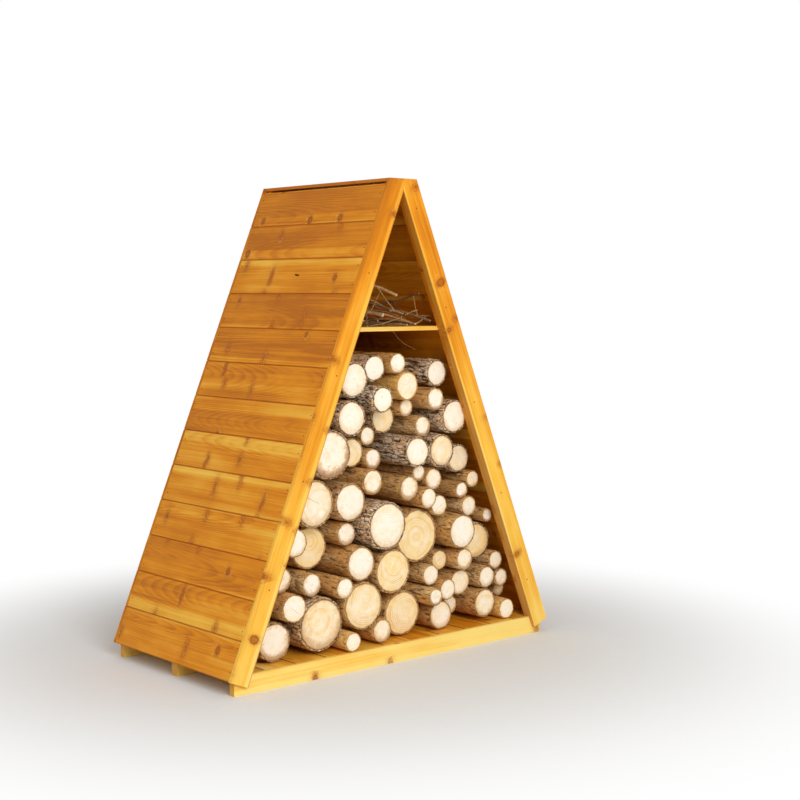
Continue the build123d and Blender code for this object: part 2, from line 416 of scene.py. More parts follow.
def leg_layout(x, y, z):
    """Trims and rafters: they run down the slopes."""
    down, out = slope_place(x, z)
    layer = (y / LEG_THICKNESS).function("ROUND")
    return down, out + TRIM_WIDTH, y, x.function("SIGN") * LEG_SIDES + layer + LEG_START


def rail_layout(x, y, z):
    """Bearers: they run from side to side."""
    return x, z, y, (y / BEARER_SPACING).function("ROUND") + BEARER_START


def strip_layout(x, y, z):
    """The ridge cap and the cleats: they run from front to back."""
    return y, x, z, x.function("SIGN") * STRIP_SIDES + STRIP_START


# In the materials, a number that multiplies a place says how fine the grain is, and the two
# numbers of a rise are where a mark starts and where it is full


def timber(name, layout, width, grain_axis, pale=0.0, knots=0.30, straight=0.0, mirrored=False,
           nails=0.0, knot_size=1.0, painted_light_downward=0.0, edge_stain_and_shade=0.62, bare_edge=0.0):
    """Stained pine.

    A higher knots gives fewer of them. A straight of 1 is grain without arches, painted_light_downward
    makes the lower ends paler as painted light, edge_stain_and_shade darkens the edges as a stain and,
    on trims, as painted shade on the inner side, and bare_edge keeps that off the outer edge. The
    nails are that far apart, or none where it is 0. A mirrored grain runs down both slopes.
    """
    wood = bpy.context.scene.log_store_timber
    finish = Finish(name)
    place = finish.place()
    facing = finish.split(place.sibling("Normal"))
    x, y, z = finish.split(place)
    along, across, depth, board = layout(x, y, z)
    first, second, third = finish.chance(board)
    seed = board * 3.17

    # The nearest knot: some are round, some are cut lengthwise and lie across the board
    cell_x = along / wood.knot_spacing + seed
    cell_y = across / width + board * 5.13
    settings = {"voronoi_dimensions": "2D", "feature": "F1"}
    inputs = {"Vector": finish.join(cell_x, cell_y, 0.0), "Scale": 1.0, "Randomness": 0.92}
    spot = finish.add("ShaderNodeTexVoronoi", settings, inputs, "Position")
    spot_x, spot_y = finish.split(spot)[:2]
    luck, size_luck, shape_luck = finish.split(spot.sibling("Color"))
    off_x = (cell_x - spot_x) * wood.knot_spacing
    off_y = (cell_y - spot_y) * width
    present = luck.rise(knots - 0.02, knots + 0.02)
    spike = shape_luck.rise(0.60, 0.66) * (1.0 - straight * 0.8)
    radius = wood.knot_radius * knot_size * (0.28 + 0.80 * size_luck * size_luck)
    crumple = finish.grain((off_x * 210.0, off_y * 110.0, seed), 3.0, 0.65) - 0.5
    bend = finish.grain((off_x * 25.0, off_y * 48.0, seed + luck * 40.0)) - 0.5
    bent_x = off_x + bend * 0.018 * spike
    flat_y = off_y * (1.0 - spike * 0.66)
    away = ((bent_x * bent_x * 1.3 + flat_y * flat_y) ** 0.5 + crumple * 0.0052) / radius
    swirl = (away * 2.3 + crumple * 1.2).function("FRACT").rise(0.25, 0.75)
    knot = away.rise(1.08, 0.72) * present * (0.55 + 0.60 * swirl)
    rim = away.rise(1.45, 1.02) * away.rise(0.70, 0.98) * present * (1.0 - spike * 0.75)
    spread = (bent_x * bent_x) / 0.00028 + (off_y * off_y) / (0.0007 + spike * 0.0012)
    halo = (0.0 - spread).function("EXPONENT") * present

    # Growth rings, as a saw cuts them out of a trunk
    sway = (finish.grain((along * 2.4, seed, 0.0)) - 0.5) * 0.024
    side = across - width * (0.1 + 0.8 * first) + sway + straight * 0.12
    heart = 0.020 + 0.085 * second + along * (third - 0.5) * 0.15 * (1.0 - straight)
    trunk = (side * side + heart * heart) ** 0.5
    trunk = trunk + halo * 0.0040 * (abs(side) / trunk)
    fine = finish.grain((along * 12.0, across * 620.0, depth * 620.0), 3.0, 0.6)
    ring = ((trunk + (fine - 0.5) * 0.0012) / wood.ring_spacing).function("FRACT")
    late = ring.rise(0.20, 0.85) * ring.rise(1.0, 0.88)
    streak = finish.grain((along * 1.1, across * 42.0 + seed, depth * 42.0), 3.0)
    thread = finish.grain((along * 2.6, across * 190.0, depth * 190.0 + seed))
    cloud = finish.grain((along * 4.0, across * 10.0, depth * 10.0 + seed), 3.0)
    fade = cloud.rise(0.35, 0.62)

    # Sapwood: a pale band along one edge of some boards
    shares = across / width
    turned = second.rise(0.49, 0.51)
    from_edge = shares * (1.0 - turned) + (1.0 - shares) * turned + (streak - 0.5) * 0.16
    sapwood = from_edge.rise(0.42 * third, 0.42 * third - 0.09)

    tone = streak - 0.5 + (thread - 0.5) * 0.6 + (cloud - 0.5) * 0.7 + (fine - 0.5) * 0.30
    # Painted light: the tone falls with the distance along, so the lower ends of the legs come out paler
    tone = tone + (first - 0.5) * 0.42 + 0.62 - sapwood * 0.36 - pale - along * painted_light_downward + late * fade * 0.20
    colour = finish.ramp((tone + 0.5) / 1.5,
                         ((0.0, wood.straw), (0.33, wood.pale), (0.72, wood.warm), (1.0, wood.deep)))
    colour = finish.mix(late * (halo * 0.6 + 0.08 * fade).clamp(), colour, wood.deep)
    # Darker near the edges: a stain on the boards, and painted shade over the inner side of the trims and
    # rafters, whose outer edge is kept bare
    edge = across.function("MINIMUM", width + bare_edge - across)
    colour = finish.mix(edge.rise(*STAIN_AND_SHADE_REACH) * edge_stain_and_shade, colour, wood.knot)
    colour = finish.mix(halo * 0.22, colour, wood.knot)
    colour = finish.mix((halo * 1.2 + crumple * 1.9).rise(0.42, 0.98) * 0.55, colour, wood.knot)
    curl = away.rise(1.5, 2.1) * away.rise(4.2, 2.4) * present * crumple.rise(0.0, 0.14)
    colour = finish.mix((curl * 0.50).clamp(), colour, wood.pale)
    dark = knot * (0.40 + 0.4 * size_luck) * (1.0 + crumple * 2.5)
    colour = finish.mix(dark.clamp(), colour, wood.knot)
    colour = finish.mix(rim * 0.62, colour, wood.knot_rim)

    # Sunken nails, with a little dark stain round them
    height = late * 0.3 + fine * 0.45 + knot * 0.4 - rim * 0.3
    if nails:
        step = (along / nails + first).function("FRACT") - 0.5
        beside = across - width * (0.42 + 0.16 * first)
        nail = ((step * nails) ** 2.0 + beside * beside) ** 0.5
        colour = finish.mix(nail.rise(*STAIN_AND_SHADE_REACH) * 0.45, colour, wood.knot_rim)
        colour = finish.mix(nail.rise(*NAIL_EDGE), colour, wood.knot_rim)
        height = height - nail.rise(*NAIL_HOLLOW) * 2.0

    # Sawn ends are darker and show no streaks
    flip = x.function("SIGN") if mirrored else 1.0
    toward = facing[0] * grain_axis[0] * flip + facing[1] * grain_axis[1] + facing[2] * grain_axis[2]
    end = abs(toward).rise(0.80, 0.95)
    colour = finish.mix(end * 0.55, colour, wood.deep)

    normal = finish.relief(height, 0.0006, 0.55)
    rough = wood.gloss + fine * 0.16 - late * 0.05 + end * 0.25
    return finish.done(finish.surface(colour, rough, 0.16, normal))


def bark():
    """Bark: smooth and brown on some logs, ridged and grey on others."""
    wood = bpy.context.scene.log_store_firewood
    finish = Finish("bark")
    x, y, z = finish.split(finish.read("log_place"))
    rough_kind, tone, seed = finish.split(finish.read("log_kind"))
    groove = finish.read("groove", "Fac")
    offset = seed * 9.0
    strand = finish.grain((x * 290.0 + offset, y * 26.0, z * 290.0), 4.0, 0.65)
    flake = finish.grain((x * 75.0 + offset, y * 26.0, z * 75.0), 3.0, 0.6)
    patch = finish.grain((x * 22.0 + offset, y * 7.0, z * 22.0))
    ring = finish.grain((x * 30.0, y * 240.0, z * 30.0 + offset))
    bent = (flake - 0.5) * 1.6
    settings = {"voronoi_dimensions": "3D", "feature": "DISTANCE_TO_EDGE"}
    cells = finish.join(x * 105.0 + bent, y * 40.0 + offset, z * 105.0 - bent)
    plate = finish.add("ShaderNodeTexVoronoi", settings, {"Vector": cells, "Scale": 1.0, "Randomness": 1.0})
    fissure = plate.rise(0.10, 0.015) * patch.rise(0.30, 0.45)

    worn = (patch - 0.42) * 3.0 + (flake - 0.5) * 1.4 + (tone - 0.5) * 1.2
    smooth = finish.mix(worn.clamp(), wood.brown, wood.tan)
    young = tone.rise(0.75, 1.0)
    smooth = finish.mix(young * 0.9, smooth, wood.golden)
    smooth = finish.mix(strand.rise(0.48, 0.31) * (0.80 - young * 0.5), smooth, wood.crevice)
    smooth = finish.mix(strand.rise(0.62, 0.74) * 0.45, smooth, wood.grey)
    smooth = finish.mix(ring.rise(0.66, 0.78) * 0.45, smooth, wood.crevice)
    smooth = finish.mix(fissure * 0.30, smooth, wood.crevice)
    rugged = finish.mix(((flake - 0.5) * 2.4 + (patch - 0.5) * 1.6 + 0.55).clamp(), wood.brown, wood.grey)
    rugged = finish.mix(strand.rise(0.52, 0.70) * 0.55, rugged, wood.grey)
    hollow = groove.rise(0.55, 0.90) * 0.6 + fissure * 0.75 + strand.rise(0.46, 0.30) * 0.5
    rugged = finish.mix(hollow.clamp(), rugged, wood.crevice)
    colour = finish.mix(rough_kind.rise(0.25, 0.65), smooth, rugged)
    colour = finish.mix(groove.rise(0.66, 1.0) * (0.80 - young * 0.5), colour, wood.crevice)

    height = strand * 0.5 + flake * 0.5 - groove * 0.6 - fissure * 0.4
    normal = finish.relief(height, 0.0022, 0.9)
    return finish.done(finish.surface(colour, 0.80 + flake * 0.15, 0.15, normal))


def sawn_end():
    """Sawn end of a log: rings round the pith, rays, cracks and saw marks."""
    wood = bpy.context.scene.log_store_firewood
    finish = Finish("sawn_end")
    x, _, z = finish.split(finish.read("pith_place"))
    rim, tone, seed = finish.split(finish.read("end_kind"))
    stained, cracked, radius = finish.split(finish.read("end_marks"))
    size = radius + 0.001
    offset = seed * 7.0
    first, second, third = finish.chance((seed * 977.0).function("ROUND"))

    wave = finish.grain((x * 24.0 + offset, z * 24.0, seed)) - 0.5
    away = (x * x + z * z) ** 0.5 + wave * 0.012
    ring = (away / (wood.ring_spacing * (0.75 + 0.8 * first))).function("FRACT")
    late = ring.rise(0.30, 0.90) * ring.rise(1.0, 0.91)
    broad = finish.grain((away * 75.0 + offset, seed, 0.0), 1.0)
    mottle = finish.grain((x * 60.0 + offset, seed, z * 60.0), 3.0, 0.6)
    turn = z.function("ARCTAN2", x)
    ray = finish.grain((turn * 26.0, seed * 5.0, away * 22.0))
    saw = finish.grain(((x * 0.35 + z) * 420.0 + offset, (x - z * 0.35) * 24.0, 0.0))

    outward = rim * 0.9 - 0.45
    yellow = (tone * 0.62 * (1.0 + outward) + (mottle - 0.5) * 1.5 + (broad - 0.5) * 0.4).clamp()
    colour = finish.mix(yellow, wood.cream, wood.honey)
    clear = finish.grain((x * 20.0, z * 20.0 + offset, seed), 1.0).rise(0.36, 0.62)
    strength = (0.08 + 0.55 * tone) * (0.25 + clear)
    rings = late * strength + broad.rise(0.55, 0.75) * strength * 0.7
    colour = finish.mix(rings.clamp(), colour, wood.heart)
    colour = finish.mix((ray - 0.5).clamp() * 0.30, colour, wood.heart)
    colour = finish.mix(away.rise(0.004, 0.001) * 0.22, colour, wood.heart)
    warm_heart = (away / size).rise(0.75, 0.1) * (0.25 + second) * tone.rise(0.1, 0.8)
    colour = finish.mix((warm_heart * (mottle - 0.20) * 2.2).clamp() * 0.8, colour, wood.honey)
    stain = finish.grain((x * 30.0, seed * 3.0, z * 30.0 + offset), 3.0, 0.65)
    colour = finish.mix((rim.rise(0.45, 1.0) * (stain - 0.40) * 2.4).clamp() * 0.7, colour, wood.honey)
    blotch = finish.grain((x * 62.0 + offset, z * 62.0, seed * 2.0), 4.0, 0.7)
    low_side = 0.0 - z / size
    worn = (rim * 0.42 + blotch + low_side * 0.14).rise(0.79, 0.90)
    colour = finish.mix(worn * (0.08 + stained * 0.50), colour, wood.brown)
    colour = finish.mix((rim + (stain - 0.5) * 0.35).rise(0.82, 1.04) * 0.5, colour, wood.tan)
    dark = (rim + (stain - 0.5) * 0.5 + low_side * 0.20).rise(0.72, 1.06) * stained
    colour = finish.mix(dark * 0.85, colour, wood.inner_bark)
    edge = rim + (mottle - 0.5) * 0.06
    colour = finish.mix(edge.rise(0.935, 0.99) * 0.85, colour, wood.inner_bark)

    # Cracks run out from the pith of some logs
    crack = 0.0
    for number, (angle_share, length_share) in enumerate(((first, second), (second, third))):
        angle = angle_share * 6.283
        out = x * angle.function("COSINE") + z * angle.function("SINE")
        beside = abs(z * angle.function("COSINE") - x * angle.function("SINE") + wave * 0.006)
        width = 0.00025 + out * 0.007
        line = (beside / width).rise(1.3, 0.5) * out.rise(0.002, 0.004)
        line = line * rim.rise(0.85, 0.45 - 0.2 * number)
        crack = crack + line * (cracked if number == 0 else cracked * length_share.rise(0.4, 0.6))
    crack = crack.clamp()
    colour = finish.mix(crack * 0.62, colour, wood.crevice)

    height = saw * 0.5 + late * 0.25 + mottle * 0.3 - crack * 3.0
    normal = finish.relief(height, 0.0007, 0.7)
    return finish.done(finish.surface(colour, 0.66 + mottle * 0.2, 0.2, normal))


def steel():
    """Dull nail heads under the stain."""
    fixings = bpy.context.scene.log_store_fixings
    finish = Finish("nail_heads")
    x, y, z = finish.split(finish.place())
    speck = finish.grain((x * 900.0, y * 900.0, z * 900.0))
    worn = tuple(part * 1.9 for part in fixings.steel)
    colour = finish.mix(speck, fixings.steel, worn)
    normal = finish.relief(speck, 0.0002)
    return finish.done(finish.surface(colour, 0.5 + speck * 0.25, 0.04, normal))


def twig_bark():
    """Thin grey and tan bark of the kindling, with pale broken ends."""
    twigs = bpy.context.scene.log_store_kindling
    finish = Finish("twig_bark")
    tone, end, seed = finish.split(finish.read("twig_kind"))
    x, y, z = finish.split(finish.place())
    speck = finish.grain((x * 260.0, y * 260.0, z * 260.0 + seed), 3.0, 0.6)
    patch = finish.grain((x * 50.0 + seed, y * 50.0, z * 50.0))
    colour = finish.mix((tone * 1.3 - 0.15 + (patch - 0.5) * 0.8).clamp(), twigs.grey, twigs.tan)
    colour = finish.mix(speck.rise(0.58, 0.34) * 0.7, colour, twigs.speck)
    colour = finish.mix(end, colour, twigs.broken)
    normal = finish.relief(speck, 0.0006)
    return finish.done(finish.surface(colour, 0.76 + speck * 0.2, 0.04, normal))


def pale_floor():
    """Pale floor that takes the shadow and fades to the white of the background."""
    stage = bpy.context.scene.log_store_stage
    finish = Finish("pale_floor")
    x, y = finish.split(finish.place())[:2]
    away = (x * x + y * y) ** 0.5
    speck = finish.grain((x * 40.0, y * 40.0, 0.0), 3.0)
    tone = stage.floor_tone
    colour = finish.mix(speck, (tone, tone, tone * 0.985), (tone * 0.97, tone * 0.965, tone * 0.95))
    white = finish.add("ShaderNodeEmission", None, {"Color": (1.0, 1.0, 1.0, 1.0), "Strength": 1.0})
    fade = away.rise(stage.floor_radius * 0.07, stage.floor_radius * 0.19)
    return finish.done(finish.backdrop(fade, finish.surface(colour, 1.0, 0.0), white))


def add_to_scene(name, data):
    """Makes an object and links it to the scene."""
    piece = bpy.data.objects.new(name, data)
    bpy.context.scene.collection.objects.link(piece)
    return piece


class Shell:
    """Collects points, faces and named values, and makes one mesh of them."""

    def __init__(self):
        self.points = []
        self.faces = []
        self.finishes = []
        self.sharp = set()
        self.values = {}

    def ring(self, points, **values):
        """Adds points and their values, and returns their numbers."""
        start = len(self.points)
        self.points += points
        for name, value in values.items():
            kept = self.values.setdefault(name, [])
            kept += value if isinstance(value, list) else [value] * len(points)
        return list(range(start, len(self.points)))

    def bridge(self, first, second, finish=0, turned=False):
        """Faces between two rings of equal length."""
        if turned:
            first, second = second, first
        count = len(first)
        for number in range(count):
            following = (number + 1) % count
            self.faces.append((first[number], first[following], second[following], second[number]))
            self.finishes.append(finish)

    def fan(self, middle, ring, finish=0, turned=False):
        """Faces from one point to a ring."""
        count = len(ring)
        for number in range(count):
            pair = (ring[number], ring[(number + 1) % count])
            self.faces.append((middle, *(reversed(pair) if turned else pair)))
            self.finishes.append(finish)

    def crease(self, ring):
        """Marks the edges of a ring as sharp."""
        count = len(ring)
        for number in range(count):
            pair = (ring[number], ring[(number + 1) % count])
            self.sharp.add((min(pair), max(pair)))

    def build(self, name, materials):
        """Makes the object with its materials, and rides it on the body."""
        mesh = bpy.data.meshes.new(name)
        mesh.from_pydata(self.points, [], self.faces)
        for material in materials:
            mesh.materials.append(material)
        mesh.polygons.foreach_set("material_index", self.finishes)
        mesh.polygons.foreach_set("use_smooth", [True] * len(self.faces))
        for label, kept in self.values.items():
            if isinstance(kept[0], (tuple, Vector)):
                layer = mesh.attributes.new(label, "FLOAT_VECTOR", "POINT")
                layer.data.foreach_set("vector", [part for value in kept for part in value])
            else:
                layer = mesh.attributes.new(label, "FLOAT", "POINT")
                layer.data.foreach_set("value", kept)
        layer = mesh.attributes.new("sharp_edge", "BOOLEAN", "EDGE")
        flags = [(min(edge.vertices), max(edge.vertices)) in self.sharp for edge in mesh.edges]
        layer.data.foreach_set("value", flags)
        mesh.update()
        piece = add_to_scene(name, mesh)
        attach(piece, BODY)
        return piece


def read_logs(node):
    """Lowest and highest corner of each log of a node, from the floor up."""
    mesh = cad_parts[node].data
    homes = {}
    home_of = []
    for vertex in mesh.vertices:
        key = tuple(round(c, 5) for c in vertex.co)
        home_of.append(homes.setdefault(key, len(homes)))
    group = list(range(len(homes)))

    def leader(member):
        """The one that stands for all the points of a log."""
        while group[member] != member:
            group[member] = group[group[member]]
            member = group[member]
        return member

    for face in mesh.polygons:
        first = leader(home_of[face.vertices[0]])
        for vertex in face.vertices[1:]:
            group[leader(home_of[vertex])] = first
    boxes = {}
    for vertex in mesh.vertices:
        log = leader(home_of[vertex.index])
        low, high = boxes.setdefault(log, (vertex.co.copy(), vertex.co.copy()))
        for axis in range(3):
            low[axis] = min(low[axis], vertex.co[axis])
            high[axis] = max(high[axis], vertex.co[axis])
    return sorted(boxes.values(), key=lambda box: (round(box[0].z, 4), round(box[0].x, 4)))


# Logs that stand out, by the middle of their front end in mm, with shares from 0 to 1: how
# yellow the sawn end is, how stained its rim, how open its crack, how rugged the bark, how tan
MARKED_LOGS = {
    (-420, 112): (0.05, 0.75, 0.0, 0.45, 0.4), (-268, 143): (0.55, 0.50, 0.0, 0.50, 0.6),
    (-118, 177): (0.60, 0.10, 0.0, 0.20, 0.6), (60, 125): (0.85, 0.05, 0.0, 0.20, 0.5),
    (-5, 265): (0.80, 0.05, 0.0, 0.30, 0.6), (119, 353): (0.85, 0.00, 0.0, 0.10, 0.5),
    (-265, 355): (0.90, 0.00, 0.0, 0.10, 0.4), (375, 308): (1.00, 0.45, 0.0, 0.80, 0.4),
    (219, 266): (0.65, 0.15, 1.0, 0.30, 0.5), (497, 139): (0.60, 0.50, 0.7, 0.60, 0.3),
    (-286, 489): (0.35, 0.30, 1.0, 0.40, 0.6), (-375, 207): (0.15, 0.00, 1.0, 0.15, 0.5),
    (-241, 627): (0.15, 1.00, 0.0, 0.50, 0.3), (86, 612): (0.05, 0.10, 0.0, 1.00, 0.3),
    (202, 606): (0.60, 0.45, 0.0, 1.00, 0.5), (298, 573): (0.40, 0.20, 0.0, 0.60, 0.4),
    (12, 711): (0.70, 0.10, 0.0, 0.60, 0.3), (58, 809): (0.45, 0.00, 0.9, 0.00, 1.0),
    (-145, 834): (0.05, 0.20, 0.6, 0.70, 0.3), (-52, 863): (0.00, 0.10, 0.0, 0.60, 0.4),
    (186, 842): (0.00, 0.05, 0.0, 1.00, 0.6), (-52, 774): (0.00, 0.00, 0.0, 1.00, 0.7),
    (-156, 724): (0.05, 0.15, 0.0, 0.85, 0.3), (235, 709): (0.05, 0.30, 0.0, 0.75, 0.4),
    (-41, 404): (0.15, 0.20, 0.0, 0.65, 0.4), (389, 113): (0.35, 0.45, 0.0, 0.30, 0.5),
    (390, 196): (0.10, 0.40, 0.0, 0.35, 0.5), (462, 184): (0.20, 0.55, 0.5, 0.45, 0.4),
    (465, 87): (0.10, 0.00, 0.0, 0.00, 0.9), (-175, 83): (0.10, 0.00, 0.0, 0.00, 0.9),
    (-151, 480): (0.05, 0.25, 0.0, 0.40, 0.4), (-106, 617): (0.55, 0.00, 0.0, 0.30, 0.6),
    (267, 355): (0.00, 0.15, 0.0, 0.20, 0.3), (-131, 303): (0.00, 0.20, 0.0, 0.20, 0.4),
}

# How near to such a middle, in mm, a log has to be to get its marks
MARK_REACH = 12


def log_marks(x, z, luck):
    """The marks of the log with its middle at x, z, drawn by chance where it has none."""
    chosen = (luck.uniform(0.0, 0.4), luck.uniform(0.25, 1.0), max(luck.uniform(-1.2, 0.9), 0.0),
              luck.uniform(0.0, 0.4), luck.uniform(0.2, 0.8))
    for (marked_x, marked_z), marks in MARKED_LOGS.items():
        if math.hypot(x * MM_IN_METRE - marked_x, z * MM_IN_METRE - marked_z) < MARK_REACH:
            chosen = marks
    return chosen


def log_stations(length):
    """Distances along a log, closer together near its front end."""
    margin, step, growth, longest, last_gap = 0.0016, 0.0035, 1.16, 0.032, 0.004
    stations = [margin]
    while stations[-1] + step < length - last_gap:
        stations.append(stations[-1] + step)
        step = min(step * growth, longest)
    return stations + [length - margin]


# Sizes at the ends of a log, in metres: how far the saw cut lies back, the dark gap between wood
# and bark, the ragged crest of the bark, where its first ring starts, and how it thins out
CUT_DEPTH = 0.0012
GAP_WIDTH, GAP_DEPTH = 0.0005, 0.0014
CREST_SHIFT, CREST_DEPTH, CREST_WAVE = 0.0004, 0.0016, 0.0015
FIRST_RING_SHIFT = 0.0022
THIN_LENGTH, THIN_DEPTH = 0.012, 0.0008
LOG_SEED = 4100


def add_log(shell, low, high, number, settings):
    """One log: bark with grooves, a ragged rim and two sawn ends."""
    luck = random.Random(LOG_SEED + number)
    centre_x, centre_z = (low.x + high.x) / 2, (low.z + high.z) / 2
    radius = (high.x - low.x) / 2
    length = high.y - low.y
    seed = luck.uniform(1.0, 40.0)
    yellow, stain, crack, rough_kind, tan = log_marks(centre_x, centre_z, luck)
    pith = (luck.uniform(-0.26, 0.26) * radius, luck.uniform(-0.26, 0.26) * radius)
    depth = settings.ridge_depth * (0.36 + 0.64 * rough_kind) * min(1.0, radius / 0.05)
    count = round(settings.segments * (0.5 + radius / 0.11))
    angles = [2 * math.pi * step / count for step in range(count)]
    pitch = 0.0085 + 0.0045 * luck.random()
    turned = luck.uniform(0, 6.28)
    oval = luck.uniform(0.0, 0.035)

    def outline(angle):
        """Radius over the ridges, always inside the round solid."""
        uneven = noise.noise(Vector((math.cos(angle) * 1.3 + seed, math.sin(angle) * 1.3, seed)))
        flat = oval * (1 - math.cos(2 * (angle - turned))) / 2
        return radius * (1.0 - flat - 0.044 * (1 + uneven) / 2)

    def groove_at(angle, along):
        """How deep a groove is, from 0 to 1."""
        around = radius / pitch
        wander = 0.5 * noise.noise(Vector((math.cos(angle) * 2, math.sin(angle) * 2, along * 9 + seed)))
        point = Vector((math.cos(angle + wander * 0.1) * around, math.sin(angle + wander * 0.1) * around,
                        along * 21.0 + seed))
        ridge = abs(noise.noise(point)) * 2.4
        second = abs(noise.noise(point * 2.1 + Vector((7, 3, 5)))) * 1.6
        return min(max(1.0 - min(ridge, 0.35 + second), 0.0), 1.0)

    def place(angle, size, along):
        """The point at an angle and a radius, so far from the front end."""
        return Vector((centre_x + math.cos(angle) * size, low.y + along, centre_z + math.sin(angle) * size))

    def ragged(angle, pace, step):
        """Uneven value from -1 to 1 that closes round the log."""
        return noise.noise(Vector((math.cos(angle) * pace, math.sin(angle) * pace, seed + step)))

    outer = [outline(angle) for angle in angles]
    thick = settings.bark_thickness * (0.6 + 0.8 * rough_kind) * (0.65 + radius / 0.09)
    bark_at = [max(thick * 0.75 + 0.0018 * ragged(angle, radius * 150, 3.0), 0.0009)
               + radius * 0.016 * (1 + ragged(angle, 2.4, 5.0)) for angle in angles]
    wood_edge = [size - part for size, part in zip(outer, bark_at)]

    def add_ring(points, grooves, share=None):
        """Adds points with what their finish reads. Points of a sawn end tell their share of its radius."""
        places = [(p.x - centre_x, p.y - low.y, p.z - centre_z) for p in points]
        from_pith = (0.0, 0.0, 0.0)
        if share is not None:
            from_pith = [(x - pith[0], 0.0, z - pith[1]) for x, _, z in places]
        return shell.ring(points, log_place=places, log_kind=(rough_kind, tan, seed), groove=grooves,
                          pith_place=from_pith, end_kind=(1.0 if share is None else share, yellow, seed),
                          end_marks=(stain, crack, radius))

    slope_x, slope_z = luck.uniform(-0.012, 0.012), luck.uniform(-0.012, 0.012)

    def cut(angle, size, at_back):
        """How far along the saw cut is, with its small waves and its slant."""
        x, z = math.cos(angle) * size, math.sin(angle) * size
        wave = 0.0004 * noise.noise(Vector((x * 40 + seed, z * 40, seed)))
        inset = CUT_DEPTH + abs(x * slope_x + z * slope_z) + wave
        return length - inset if at_back else inset

    rims = []
    for at_back in (False, True):
        middle = add_ring([place(0.0, 0.0, cut(0.0, 0.0, at_back))], 0.0, 0.0)[0]
        before = None
        for share in (0.25, 0.5, 0.75, 0.92, 1.0):
            points = [place(angle, size * share, cut(angle, size * share, at_back))
                      for angle, size in zip(angles, wood_edge)]
            ring = add_ring(points, 0.0, share)
            if before is None:
                shell.fan(middle, ring, 1, turned=at_back)
            else:
                shell.bridge(ring, before, 1, turned=at_back)
            before = ring
        shell.crease(before)
        inward = -GAP_DEPTH if at_back else GAP_DEPTH
        points = [place(angle, size + GAP_WIDTH, cut(angle, size, at_back) + inward)
                  for angle, size in zip(angles, wood_edge)]
        gap = add_ring(points, 1.0)
        shell.bridge(gap, before, turned=at_back)
        points = []
        for angle, wood, bark_size in zip(angles, wood_edge, outer):
            inset = CREST_DEPTH + CREST_WAVE * ragged(angle, radius * 170, 9.0)
            along = length - inset if at_back else inset
            points.append(place(angle, (wood + bark_size) / 2 + CREST_SHIFT, along))
        crest = add_ring(points, [0.55 + ragged(angle, radius * 190, 7.0) for angle in angles])
        shell.bridge(crest, gap, turned=at_back)
        rims.append(crest)

    before = rims[0]
    for along in log_stations(length):
        grooves = [groove_at(angle, along) for angle in angles]
        thinned = THIN_DEPTH * (1 - min(1.0, min(along, length - along) / THIN_LENGTH))
        sizes = [size - depth * groove - thinned for size, groove in zip(outer, grooves)]
        shift = FIRST_RING_SHIFT if before is rims[0] else 0.0
        points = [place(angle, size, along + shift) for angle, size in zip(angles, sizes)]
        ring = add_ring(points, grooves)
        shell.bridge(ring, before)
        before = ring
    shell.bridge(rims[1], before)


def dress(material, *endings):
    """Puts a material on the nodes whose names end so, apart from a number."""
    for ending in endings:
        nodes = [node for name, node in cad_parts.items()
                 if name.rstrip("_0123456789").endswith(ending)]
        if not nodes:
            raise RuntimeError(f"the frame has no {ending}")
        for node in nodes:
            for place in node.material_slots:
                place.material = material


class LOGSTORE_OT_boards(bpy.types.Operator):
    """Finishes the boards of the slopes and of the back wall"""
    bl_idname = "log_store.boards"
    bl_label = "Boards"

    def execute(self, context):
        slopes = timber("slope_boards", slope_layout, BOARD_COVER, ALONG_Y, pale=-0.05, knots=0.42)
        back = timber("back_boards", back_layout, BOARD_COVER * COS, ALONG_X, nails=0.27)
        dress(slopes, "slope_board")
        dress(back, "back_wall")
        return {"FINISHED"}


class LOGSTORE_OT_frames(bpy.types.Operator):
    """Finishes the trims, rafters, bearers, floor, shelf, cleats and ridge cap"""
    bl_idname = "log_store.frames"
    bl_label = "Frames, floor and shelf"

    def execute(self, context):
        # The legs get painted light towards their foot and painted shade on their inner side
        legs = timber("legs", leg_layout, TRIM_WIDTH, DOWN_SLOPE, pale=-0.06, knots=0.46, straight=1.0,
                      mirrored=True, nails=0.31, knot_size=1.5, painted_light_downward=0.54, bare_edge=0.01)
        rails = timber("rails", rail_layout, BEARER_HEIGHT, ALONG_X, pale=0.95, knots=0.72,
                       straight=1.0, edge_stain_and_shade=0.06)
        floor = timber("floor_boards", floor_layout, FLOOR_COVER, ALONG_Y, pale=0.34)
        shelf = timber("shelf_boards", shelf_layout, SHELF_COVER, ALONG_X, pale=0.8, knots=0.6,
                       edge_stain_and_shade=0.2)
        strips = timber("strips", strip_layout, STRIP_WIDTH, ALONG_Y, knots=0.6)
        dress(legs, "trim", "rafter")
        dress(rails, "bearer")
        dress(floor, "floor")
        dress(shelf, "shelf")
        dress(strips, "cleat", "cap")
        return {"FINISHED"}


class LOGSTORE_OT_firewood(bpy.types.Operator):
    """Makes the logs of every layer, with bark and sawn ends"""
    bl_idname = "log_store.firewood"
    bl_label = "Firewood"

    def execute(self, context):
        settings = context.scene.log_store_firewood
        finishes = [bark(), sawn_end()]
        number = 0
        for name in sorted(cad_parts):
            if not name.startswith("firewood_layer"):
                continue
            shell = Shell()
            for low, high in read_logs(name):
                add_log(shell, low, high, number, settings)
                number += 1
            piece = shell.build(name.replace("firewood_layer", "logs_layer"), finishes)
            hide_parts(name)
        if number == 0:
            raise RuntimeError("no log was found in the frame")
        return {"FINISHED"}


# Radius and height of the rings of a nail head, as shares of its sizes, and its points around
NAIL_PROFILE = ((1.0, 0.0), (0.92, 0.8), (0.55, 1.0))
NAIL_POINTS = 12
NAIL_SEED = 77


